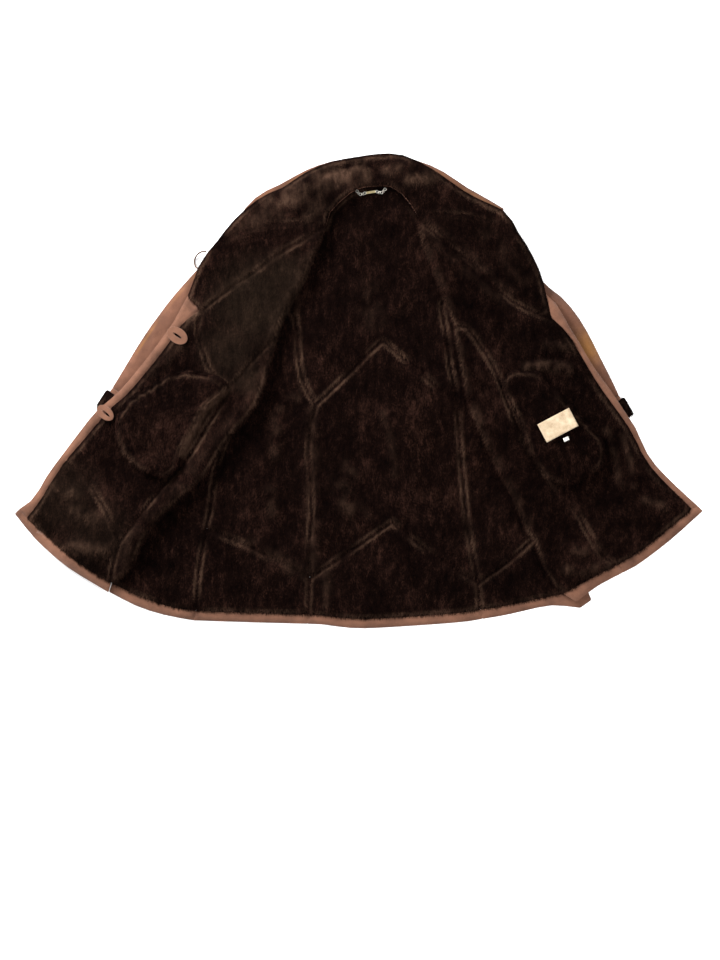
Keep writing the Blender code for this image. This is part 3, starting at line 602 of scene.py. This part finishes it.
# %% Make the suede pieces
BANDS = [n for n in NODES if n.startswith(("hem_band", "front_band"))]
SUEDE_OUT = ["sleeve_left", "sleeve_right", "under_collar"]
for node in BANDS:
    panels[node] = soft_panel(node, suede_band, "front" if "front" in node else None,
                              voxel=0.0022, dip=0.0022, dip_wide=0.0035, wave=0.0012, lump=0.0006)
for node in SUEDE_OUT:
    panels[node] = soft_panel(node, suede_sleeve, None, dip=0.002, wave=0.0022)
for node in ("cuff_tab_left", "cuff_tab_right"):
    panels[node] = soft_panel(node, suede_band, None, voxel=0.0022, dip=0.001)
STAIN_AT, STAIN_REACH = np.array((0.480, 0.095)), 0.032
stained = panels["sleeve_right"].data
plan = places_of(stained)[:, :2]
rubbed = np.exp(-(np.linalg.norm(plan - STAIN_AT, axis=1) / STAIN_REACH) ** 2)
stained.attributes["wear_and_highlight"].data.foreach_set("value", rubbed.astype(np.float32))
print("suede pieces made")

# %% [markdown]
# ## The nap
# What makes shearling look soft is its fibres. Each is one long thin triangle, rooted on a
# panel's top and combed over towards the hem. All those of a region are one mesh, filled from
# arrays, because an object for each would be far too slow.

# %% Comb the nap
FIBRE_LONG, FIBRE_WIDE = 0.0062, 0.0011
FIBRE_SUNK = 0.0004    # roots start this far below the skin
GROUPS = {"nap_back": (BACK, 140000),
          "nap_left": ([n for n in FRONTS if n.endswith("left")], 92000),
          "nap_right": ([n for n in FRONTS if n.endswith("right")], 92000),
          "nap_collar": (["collar"] + PLEATS + CUFFS, 44000),
          "nap_pockets": ([n for n in NODES if n.startswith("pocket_")], 44000)}


def triangles_of(piece):
    mesh = piece.data
    mesh.calc_loop_triangles()
    corners = np.empty(len(mesh.loop_triangles) * 3, dtype=np.int64)
    mesh.loop_triangles.foreach_get("vertices", corners)
    return corners.reshape(-1, 3)


def number_of(mesh, name):
    values = np.empty(len(mesh.vertices), dtype=np.float32)
    mesh.attributes[name].data.foreach_get("value", values)
    return values


def comb(name, members, count, seed):
    """One mesh of fibres over the upper faces of the member panels."""
    draw = np.random.default_rng(seed)
    tri, weights = [], []
    for node in members:
        mesh = panels[node].data
        at, corners = places_of(mesh), triangles_of(panels[node])
        a, b, c = (at[corners[:, k]] for k in range(3))
        up = np.cross(b - a, c - a)
        area = np.linalg.norm(up, axis=1) / 2
        facing = up[:, 2] > 0.10 * np.linalg.norm(up, axis=1)
        # Each fibre takes its panel's paleness, partly wear and partly painted highlight, and its
        # painted olive sheen.
        tri.append((a[facing], b[facing], c[facing], up[facing],
                    number_of(mesh, "wear_and_highlight")[corners[facing, 0]],
                    number_of(mesh, "olive_sheen")[corners[facing, 0]]))
        weights.append(area[facing])
    a, b, c, up, wear_and_highlight, olive_sheen = (np.concatenate([t[k] for t in tri]) for k in range(6))
    weight = np.concatenate(weights)
    pick = draw.choice(len(weight), count, p=weight / weight.sum())
    u, v = draw.random((2, count, 1))
    u, v = np.where(u + v > 1, 1 - u, u), np.where(u + v > 1, 1 - v, v)
    root = a[pick] + u * (b[pick] - a[pick]) + v * (c[pick] - a[pick])
    up = up[pick] / np.linalg.norm(up[pick], axis=1)[:, None]
    turn = 1.1 * uneven(root[:, :2], 0.060, 7.3) + 0.8 * uneven(root[:, :2], 0.011, 9.9)
    turn = turn + draw.normal(0, 0.30, count)
    lie = np.stack([np.sin(turn), -np.cos(turn), 0 * turn], axis=1)
    stand = 0.42 + 0.30 * draw.random(count)
    lean = lie * np.cos(stand)[:, None] + up * np.sin(stand)[:, None]
    long = FIBRE_LONG * (0.6 + 0.7 * draw.random(count))[:, None]
    side = np.cross(lean, up)
    side /= np.maximum(np.linalg.norm(side, axis=1), 1e-9)[:, None]
    tip = root + lean * long
    root = root - up * FIBRE_SUNK
    left, right = root - side * FIBRE_WIDE / 2, root + side * FIBRE_WIDE / 2
    points = np.stack([left, right, tip], axis=1).reshape(-1, 3)
    mesh = bpy.data.meshes.new(name)
    mesh.vertices.add(count * 3)
    mesh.vertices.foreach_set("co", points.ravel())
    mesh.loops.add(count * 3)
    mesh.loops.foreach_set("vertex_index", np.arange(count * 3))
    mesh.polygons.add(count)
    mesh.polygons.foreach_set("loop_start", np.arange(0, count * 3, 3))
    mesh.update()
    keep_number(mesh, "wear_and_highlight", np.repeat(wear_and_highlight[pick], 3))
    keep_number(mesh, "olive_sheen", np.repeat(olive_sheen[pick], 3))
    keep_number(mesh, "fibre", np.repeat(draw.random(count), 3))
    keep_number(mesh, "tip", np.tile([0.0, 0.0, 1.0], count))
    mesh.materials.append(wool_nap)
    piece = bpy.data.objects.new(name, mesh)
    bpy.context.collection.objects.link(piece)
    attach(piece, "root")
    return piece


for seed, (name, (members, count)) in enumerate(GROUPS.items()):
    comb(name, members, count, seed)
print("fibres:", sum(count for _, count in GROUPS.values()))

# %% [markdown]
# ## Label and size tag
# A satin label is sewn on the right pocket bag by its ends, so its corners curl a little. Both it
# and the small tag are left blank.

# %% Make the label and the tag
LABEL_UP = 0.0035      # clear of the nap
for node, finish, slot, curl in (("label", label_satin, "label", 0.0035),
                                 ("size_tag", tag_tape, "tag", 0.0010)):
    card = copy_solid(node, node + "_cloth")
    bpy.ops.object.mode_set(mode="EDIT")
    bpy.ops.mesh.select_all(action="SELECT")
    bpy.ops.mesh.subdivide(number_cuts=3)
    bpy.ops.object.mode_set(mode="OBJECT")
    at = places_of(card.data)
    centre = (at.max(axis=0) + at.min(axis=0)) / 2
    out = np.linalg.norm(at[:, :2] - centre[:2], axis=1)
    at[:, 2] += LABEL_UP + curl * (out / out.max()) ** 3 + 0.0006 * uneven(at[:, :2], 0.012, 2.0)
    card.data.vertices.foreach_set("co", at.ravel())
    card.data.shade_smooth()
    card.data.materials.append(finish)
    declare_cloth(card, node)
print("label made")

# %% [markdown]
# ## Buttonholes
# Each hole is a suede patch with a slit through it. Its edges are rounded a little.

# %% Make the buttonhole patches
PATCH_UP = 0.0022      # clear of the nap
for node in ("buttonhole_upper", "buttonhole_lower"):
    patch = copy_solid(node, node + "_cloth")
    patch.data.materials.append(suede_band)
    at = places_of(patch.data)
    at[:, 2] += PATCH_UP
    patch.data.vertices.foreach_set("co", at.ravel())
    bevel = patch.modifiers.new("edge", "BEVEL")
    bevel.width, bevel.segments, bevel.limit_method = 0.0007, 2, "ANGLE"
    bpy.ops.object.modifier_apply(modifier="edge")
    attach(patch, "root")
    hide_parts(node)
    sum(f.area for f in patch.data.polygons) / 2
print("buttonholes made")

# %% [markdown]
# ## Buttons and hanger
# The buttons are under the right front. The coat hangs by a short chain with a bar.

# %% Finish the buttons and the hanger
def dress(node, finish):
    target = bpy.data.objects[node]
    target.data.materials.clear()
    target.data.materials.append(finish)


dress("button_upper", horn)
dress("button_lower", horn)
dress("hanger_bar", brass)


LINKS = 5
LINK_RADIUS, LINK_WIRE = 0.0026, 0.00065
LINK_UP = 0.0035       # clear of the nap


def chain_links(node, name):
    """Round wire links along the solid's own run, every other one tipped."""
    at = places_of(bpy.data.objects[node].data)
    order = np.argsort(at[:, 0])
    steps = np.array_split(at[order], LINKS)
    links = []
    for k, step in enumerate(steps):
        deselect()
        at_link = Vector(step.mean(axis=0)) + Vector((0, 0, LINK_UP))
        bpy.ops.mesh.primitive_torus_add(major_radius=LINK_RADIUS, minor_radius=LINK_WIRE,
                                         major_segments=16, minor_segments=8,
                                         location=at_link,
                                         rotation=(0.5 if k % 2 else 0.05, 0.9 * (k % 2), 0.4 * k))
        links.append(bpy.context.object)
    deselect()
    for link in links:
        link.select_set(True)
    bpy.context.view_layer.objects.active = links[0]
    bpy.ops.object.join()
    bpy.ops.object.transform_apply(location=True, rotation=True, scale=True)
    chain = bpy.context.object
    chain.name = name
    chain.data.shade_smooth()
    chain.data.materials.append(silver)
    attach(chain, "root")
    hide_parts(node)


chain_links("hanger_chain_left", "chain_links_left")
chain_links("hanger_chain_right", "chain_links_right")

print("hanger made")

# %% [markdown]
# ## Cord loop
# One small cord loop stands out at the left edge, with both its ends in the coat.

# %% Make the cord loop
LOOP_THICK = 0.0034    # thicker than the solid's 2.5 mm, so that it shows
LOOP_ROUTE = [(-0.3150, 0.2880, 0.0170), (-0.3230, 0.2885, 0.0125), (-0.3325, 0.2840, 0.0060),
              (-0.3385, 0.2760, 0.0022), (-0.3400, 0.2690, 0.0018), (-0.3390, 0.2620, 0.0040),
              (-0.3360, 0.2560, 0.0100), (-0.3315, 0.2530, 0.0165)]


def smooth_route(places, parts):
    """A smooth curve through the places, in parts short steps between each two."""
    p = np.array(places)
    p = np.vstack([2 * p[0] - p[1], p, 2 * p[-1] - p[-2]])
    run = []
    for a, b, c, d in zip(p[:-3], p[1:-2], p[2:-1], p[3:]):
        for t in np.arange(0, 1, 1 / parts):
            run.append(0.5 * (2 * b + (c - a) * t + (2 * a - 5 * b + 4 * c - d) * t * t
                              + (3 * b - a - 3 * c + d) * t ** 3))
    return np.array(run + [p[-2]])


route = smooth_route(LOOP_ROUTE, 4)
loop_curve = bpy.data.curves.new("button_loop_cord", "CURVE")
loop_curve.dimensions = "3D"
loop_curve.bevel_depth = LOOP_THICK / 2
loop_curve.bevel_resolution = 4
loop_curve.use_fill_caps = True
spline = loop_curve.splines.new("POLY")
spline.points.add(len(route) - 1)
for point, place in zip(spline.points, route):
    point.co = (*place, 1)
loop_curve.materials.append(cord_brown)
loop = bpy.data.objects.new("button_loop_cord", loop_curve)
bpy.context.collection.objects.link(loop)
loop_long = float(np.linalg.norm(np.diff(route, axis=0), axis=1).sum())
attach(loop, "root")
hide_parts("button_loop")
print("loop length:", round(loop_long, 4))

# %% [markdown]
# ## Floor and light
# A white table, a bright even sky and two large soft lamps, one stronger, so the folds are lit a
# little from the side.

# %% Floor, lamps and sky
def area_lamp(name, at, power, size):
    light = bpy.data.lights.new(name, "AREA")
    light.energy, light.size = power, size
    lamp = bpy.data.objects.new(name, light)
    lamp.location = at
    lamp.rotation_euler = (-Vector(at)).to_track_quat("-Z", "Y").to_euler()
    bpy.context.collection.objects.link(lamp)


TABLE_SIZE, TABLE_TOP = 14, -0.0004
TABLE_GLOW, SKY_GLOW = 0.45, 0.62
deselect()
bpy.ops.mesh.primitive_plane_add(size=TABLE_SIZE, location=(0, 0, TABLE_TOP))
floor = bpy.context.object
floor.name = "table"
table_white = Finish("table_white", Roughness=0.9, Specular_IOR_Level=0.1)
table_white.colour((0.92, 0.92, 0.92, 1))
table_white.shader.inputs["Emission Color"].default_value = (1, 1, 1, 1)
table_white.shader.inputs["Emission Strength"].default_value = TABLE_GLOW
floor.data.materials.append(table_white.material)
area_lamp("key", (-1.9, 1.7, 1.3), 210, 0.9)
area_lamp("fill", (2.0, -0.8, 2.2), 60, 1.6)
sky = bpy.data.worlds.new("sky")
sky.use_nodes = True
sky.node_tree.nodes["Background"].inputs[0].default_value = (1, 1, 1, 1)
sky.node_tree.nodes["Background"].inputs[1].default_value = SKY_GLOW
bpy.context.scene.world = sky
bpy.context.scene.view_settings.view_transform = "Standard"
